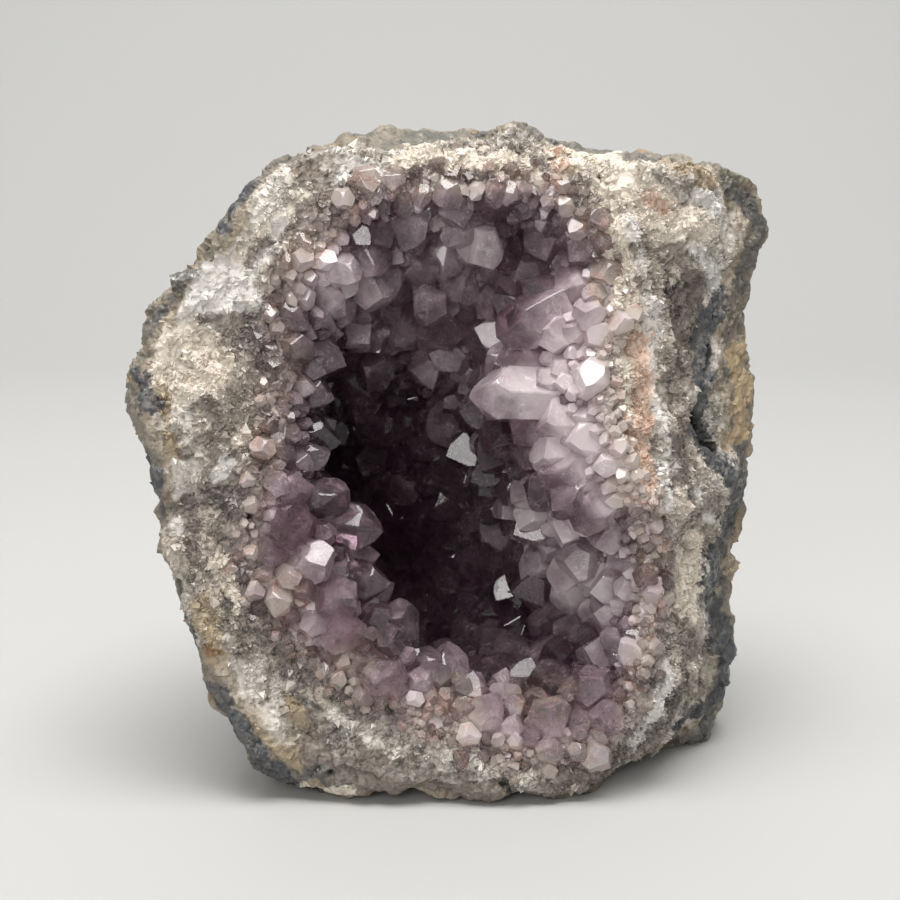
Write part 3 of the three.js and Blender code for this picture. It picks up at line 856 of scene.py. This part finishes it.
BAND_BROWN, BAND_PALE = (0.25, 0.20, 0.145), (0.42, 0.37, 0.30)
RIND_EDGE = (0.25, 0.20, 0.14)
WALL_DARK, WALL_LIGHT, WALL_PALE = (0.12, 0.07, 0.095), (0.26, 0.18, 0.22), (0.60, 0.53, 0.52)
AMETHYST_DEEP, AMETHYST_MIDDLE, AMETHYST_PALE = (0.22, 0.13, 0.18), (0.51, 0.39, 0.44), (0.90, 0.79, 0.825)
SUGAR_DARK, SUGAR_PALE, SUGAR_SALMON = (0.36, 0.29, 0.25), (0.74, 0.65, 0.56), (0.66, 0.46, 0.37)
VEIL = (0.86, 0.79, 0.83)
QUARTZ_IOR = 1.54
AMETHYST_LIGHT = (0.66, 0.50, 0.63)  # the colour that light keeps inside a crystal
AMETHYST_DENSITY = 60  # per metre

# What each stain looks like.
STAIN_COLOURS = {
    "cream": (0.73, 0.66, 0.565),
    "white": (0.63, 0.605, 0.575),
    "ochre": (0.34, 0.27, 0.18),
    "rust": (0.22, 0.12, 0.05),
    "salmon": (0.58, 0.41, 0.32),
    "smoky": (0.17, 0.14, 0.12),
    "dark": (0.05, 0.053, 0.06),
    "black": (0.012, 0.013, 0.013),
    "matrix": (0.36, 0.27, 0.16),
}


def skin_colour(g):
    """The outside of the geode: a dull brown-grey crust with ochre stains, pale bloom and dark pits."""
    relief = g.maths("ADD", g.attribute("relief"), g.maths("SUBTRACT", g.noise(*FINE), 0.5))
    base = g.mix(g.step(g.noise(*SOFT), 0.38, 0.62), SKIN_DARK, SKIN_LIGHT)
    ochre = g.mix(g.step(g.noise(*COARSE), 0.52, 0.66, 0.0, 0.8), base, SKIN_OCHRE)
    pale = g.mix(g.step(g.noise(*RAGGED), 0.54, 0.70, 0.0, 0.8), ochre, SKIN_BLOOM)
    worn = g.mix(g.step(relief, 0.4, 1.6, 0.0, 0.5), pale, SKIN_WORN)
    return g.mix(g.step(relief, -0.5, -1.8, 0.0, 0.85), worn, SKIN_PIT)


def quartz_colour(g, grain):
    """Grainy quartz between the rind and the amethyst."""
    pale, middle, dark = QUARTZ_PALE, QUARTZ_MIDDLE, QUARTZ_DARK
    if grain:
        pale, middle, dark = GRAIN_PALE, GRAIN_MIDDLE, GRAIN_DARK
    colour = g.mix(g.step(g.noise(*COARSE), 0.38, 0.58), dark, middle)
    colour = g.mix(g.step(g.noise(*MEDIUM), 0.46, 0.62), colour, pale)
    near = g.step(g.attribute("to_crust"), 1.0, 7.0, 0.65, 0.0)
    return g.mix(near, colour, QUARTZ_NEAR_CRYSTALS)


def banded_colour(g, inner):
    """The agate rind, from the outer skin inwards, over the colour of what lies further in."""
    wobble = g.spread(g.noise(*SOFT), 5.0)
    fine = g.spread(g.noise(*FINE), 1.2)
    depth = g.maths("ADD", g.maths("ADD", g.attribute("depth"), wobble), fine)
    agate = g.mix(g.step(g.noise(*COARSE), 0.40, 0.60), AGATE_DARK, AGATE_BROWN)
    agate = g.mix(g.step(g.noise(*FINE), 0.45, 0.75, 0.0, 0.5), agate, AGATE_GREY)
    white_share = g.maths("MULTIPLY", g.step(g.noise(*SOFT), 0.44, 0.58), g.step(depth, 11.0, 8.0))
    colour = g.mix(white_share, inner, CHALCEDONY)
    band = g.mix(g.step(g.noise(*MEDIUM), 0.4, 0.6), BAND_BROWN, BAND_PALE)
    colour = g.mix(g.step(depth, 4.8, 3.9), colour, band)
    colour = g.mix(g.step(depth, 3.7, 2.9), colour, agate)
    return g.mix(g.step(depth, 0.7, 0.3), colour, RIND_EDGE)


def stained_colour(g, colour):
    """The broken face's veins, patches and stains over its colour, with ragged edges."""
    edge = g.spread(g.noise(*RAGGED), 7.0)
    crumb = g.spread(g.noise(*TINY), 1.6)
    mottle = g.step(g.noise(*FINE), 0.4, 0.65, 0.0, 0.3)
    for kind in STAIN_KINDS:
        wobble = crumb if kind == "black" else edge
        share = g.step(g.maths("ADD", g.attribute(kind), wobble), -0.2, 0.45)
        mottled = g.mix(mottle, STAIN_COLOURS[kind], colour)
        colour = g.mix(share, colour, mottled)
    return colour


def rock_material(name, grain=False):
    """Rind, agate and quartz, or the same for the glossier grains on it."""
    g = Graph(name)
    broken = banded_colour(g, quartz_colour(g, grain))
    broken = stained_colour(g, broken)
    colour = g.mix(g.attribute("broken"), skin_colour(g), broken)
    wall = g.mix(g.step(g.noise(*RAGGED), 0.4, 0.6), WALL_DARK, WALL_LIGHT)
    # The wall pales with the crystals, including their painted light and painted shade.
    wall = g.mix(g.step(g.attribute("pale"), 0.1, 0.8), wall, WALL_PALE)
    colour = g.mix(g.attribute("hollow"), colour, wall)
    darkest, lightest = (0.70, 1.0) if grain else (0.78, 1.12)
    shade = g.step(g.noise(*TINY), 0.30, 0.70, darkest, lightest)
    # Darker in the dips of the relief and lighter on its rises: partly dirt in the dips, partly painted
    # shade in them and painted light on the rises.
    shade = g.maths("MULTIPLY", shade, g.step(g.attribute("relief"), -2.5, 1.0, 0.78, 1.08))
    colour = g.mix(1.0, colour, shade, "MULTIPLY")
    g.put(g.shader.inputs["Base Color"], colour)
    smoothest, roughest = (0.12, 0.4) if grain else (0.22, 0.68)
    g.put(g.shader.inputs["Roughness"], g.step(g.noise(*TINY), 0.35, 0.65, smoothest, roughest))
    g.shader.inputs["IOR"].default_value = QUARTZ_IOR
    if not grain:
        fine = g.bump(g.noise(0.45, 4, 0.65), 0.7, 0.22)
        g.put(g.shader.inputs["Normal"], g.bump(g.cells(0.9), 0.55, 0.3, fine))
    return g.material


def amethyst_material(name):
    """Clear purple crystal that pales and clouds towards the mouth, with veils and warm stains."""
    g = Graph(name)
    # pale also carries painted light on the inner wall and painted shade deep in the hollow. Paler crystals
    # are less see-through below, which makes them brighter still.
    pale = g.maths("ADD", g.attribute("pale"), g.attribute("tone"))
    cloud = g.maths("ADD", pale, g.spread(g.noise(3.2, 5, 0.62, 0.4), 0.6))
    colour = g.mix(g.step(cloud, -0.2, 0.5), AMETHYST_DEEP, AMETHYST_MIDDLE)
    colour = g.mix(g.step(cloud, 0.45, 1.0), colour, AMETHYST_PALE)
    warm = g.maths("ADD", g.attribute("warm"), g.spread(g.noise(2.4, 4), 1.0))
    sugar = g.mix(g.step(cloud, 0.2, 0.8), SUGAR_DARK, SUGAR_PALE)
    stain = g.mix(g.step(g.noise(4, 3), 0.5, 0.62), sugar, SUGAR_SALMON)
    colour = g.mix(g.step(warm, 0.3, 0.8, 0.0, 0.8), colour, stain)
    veils = g.maths("ABSOLUTE", g.maths("SUBTRACT", g.noise(2.2, 6, 0.6, 1.2), 0.5))
    veils = g.step(veils, 0.025, 0.0)
    veils = g.maths("MULTIPLY", veils, g.step(g.noise(4, 3), 0.44, 0.62))
    colour = g.mix(g.maths("MULTIPLY", veils, 0.25), colour, VEIL)
    g.put(g.shader.inputs["Base Color"], colour)
    g.put(g.shader.inputs["Roughness"], g.step(g.noise(1.5, 2), 0.45, 0.65, 0.04, 0.12))
    g.shader.inputs["IOR"].default_value = QUARTZ_IOR
    clear = g.step(cloud, 0.2, 1.0, 0.94, 0.45)
    clear = g.maths("SUBTRACT", clear, g.maths("MULTIPLY", veils, 0.25))
    g.put(g.shader.inputs["Transmission Weight"], clear)
    g.put(g.shader.inputs["Normal"], g.bump(g.noise(0.8, 3), 0.06, 0.15))
    g.absorb(AMETHYST_LIGHT, AMETHYST_DENSITY)
    return g.material


# The stage, the light and the camera


# The backdrop's floor, round bend and wall, m.
FLOOR_FRONT = -0.6
FLOOR_BACK = 0.35
BEND = 0.3
WALL_TOP = 1.2
HALF_WIDTH = 1.2


def build_stage():
    profile = [(FLOOR_FRONT, 0), (FLOOR_BACK, 0)]
    for angle in np.linspace(0.1, math.pi / 2, 12):
        profile.append((FLOOR_BACK + BEND * math.sin(angle), BEND - BEND * math.cos(angle)))
    profile.append((FLOOR_BACK + BEND, WALL_TOP))
    points = []
    faces = []
    for y, z in profile:
        points += [(-HALF_WIDTH, y, z), (HALF_WIDTH, y, z)]
    for i in range(len(profile) - 1):
        faces.append((2 * i, 2 * i + 1, 2 * i + 3, 2 * i + 2))
    mesh = bpy.data.meshes.new("backdrop")
    mesh.from_pydata(points, [], faces)
    mesh.shade_smooth()
    material, _, shader = new_material("backdrop")
    shader.inputs["Base Color"].default_value = (0.47, 0.47, 0.465, 1)
    shader.inputs["Roughness"].default_value = 0.7
    mesh.materials.append(material)
    floor = new_object("backdrop", mesh)


STONE_MIDDLE = (0, 0, 0.05)
WARM_WHITE = (1, 0.985, 0.96)


def area_light(name, place, aim, size, power, colour=(1, 1, 1)):
    data = bpy.data.lights.new(name, "AREA")
    data.shape = "RECTANGLE"
    data.size, data.size_y = size
    data.energy = power
    data.color = colour
    light = new_object(name, data)
    light.location = place
    light.rotation_euler = (Vector(aim) - Vector(place)).to_track_quat("-Z", "Y").to_euler()


def build_light():
    world = bpy.data.worlds.new("studio")
    world.use_nodes = True
    background = world.node_tree.nodes["Background"]
    background.inputs["Color"].default_value = (1.0, 0.995, 0.98, 1)
    background.inputs["Strength"].default_value = 0.38
    bpy.context.scene.world = world
    area_light("overhead", (0.0, -0.15, 0.65), STONE_MIDDLE, (0.5, 0.4), 5.5, WARM_WHITE)
    area_light("behind", (0, 0.3, 0.45), (0, 0.3, 0), (1.0, 0.12), 1.3)
    area_light("front", (-0.2, -0.75, 0.36), STONE_MIDDLE, (0.4, 0.3), 2.3, WARM_WHITE)


CAMERA_TARGET = (0, -15, 51)
CAMERA_DISTANCE = 0.33  # m
CAMERA_TILT = math.radians(12)
LENS = 85.5


def build_camera():
    data = bpy.data.cameras.new("camera")
    data.sensor_width = 36
    data.lens = LENS
    camera = new_object("camera", data)
    target = Vector(np.array(CAMERA_TARGET) + PLACE) * MM
    away = CAMERA_DISTANCE * Vector((0, -math.cos(CAMERA_TILT), math.sin(CAMERA_TILT)))
    camera.location = target + away
    camera.rotation_euler = (-away).to_track_quat("-Z", "Y").to_euler()
    bpy.context.scene.camera = camera


rock, points, normals, zones = build_rock()
build_grains(rock, zones.keys())
build_crust(points, normals, zones)
build_stage()
build_light()
build_camera()
bpy.context.scene.view_settings.view_transform = "Standard"
